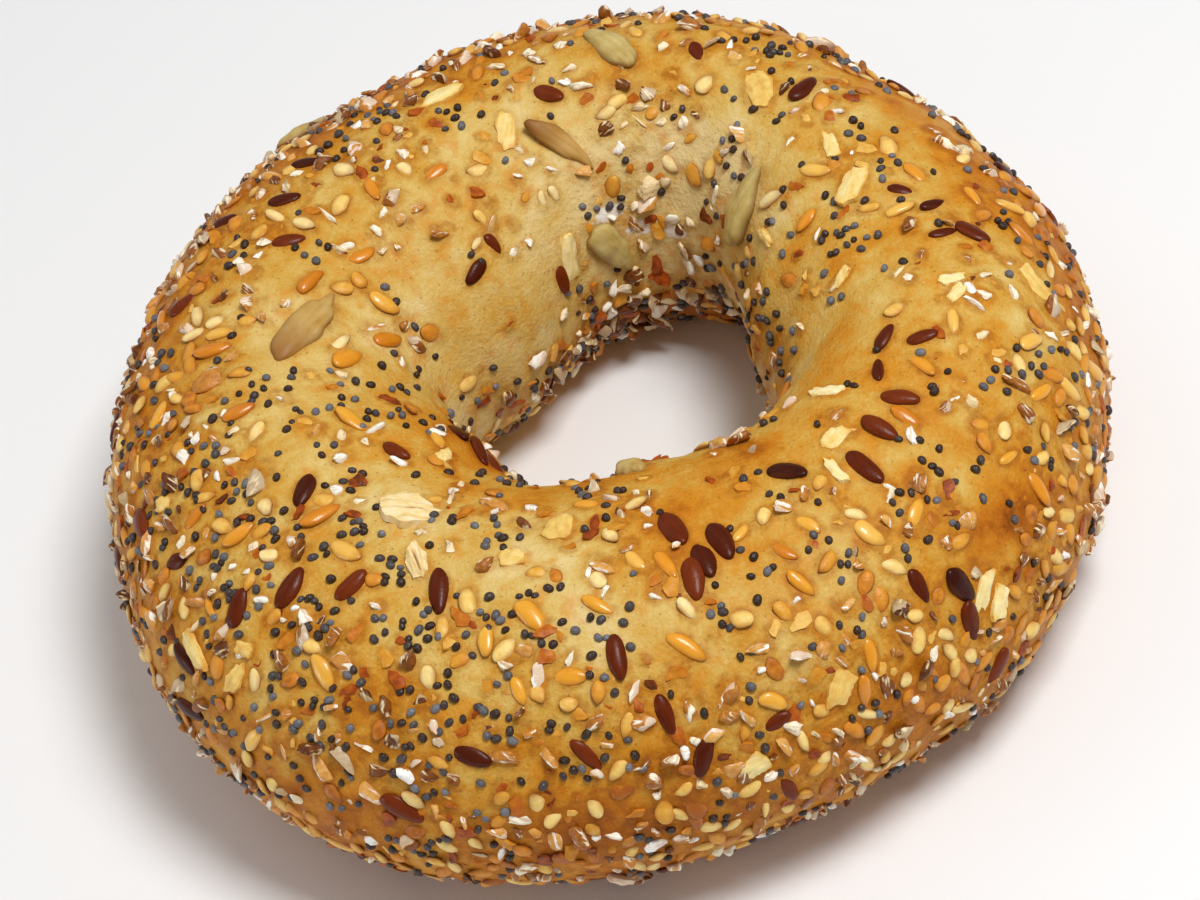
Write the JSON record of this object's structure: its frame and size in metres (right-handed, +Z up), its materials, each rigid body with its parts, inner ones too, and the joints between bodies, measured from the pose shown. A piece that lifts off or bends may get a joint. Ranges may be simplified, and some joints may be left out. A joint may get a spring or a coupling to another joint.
{
  "type": "bagel",
  "caption": "Ring bagel lying flat: an uneven, round, golden crust with a hole through its middle and seeds, kernels and flakes baked on all over.",
  "frame": {"origin": "on the table, under the middle of the outline", "axes": "+Z up out of the flat base, through the hole; X and Y lie on the table, with -Y towards the side that shows most"},
  "size_m": [0.1149, 0.1167, 0.0397],
  "materials": {
    "crust": "baked crust, golden with paler and toasted patches, slightly glossy",
    "kernel": "grey-khaki sunflower kernel, matt and finely ridged",
    "flake": "pale toasted flake, matt and uneven",
    "brown_flax": "glossy dark brown flax seed",
    "gold_flax": "golden flax seed, slightly glossy",
    "sesame": "toasted sesame seed, satin",
    "poppy": "slate-blue poppy seed, satin",
    "grit": "cracked grain, brown bran with white faces"
  },
  "bodies": {
    "root": {"bagel": "crust"}
  },
  "joints": []
}
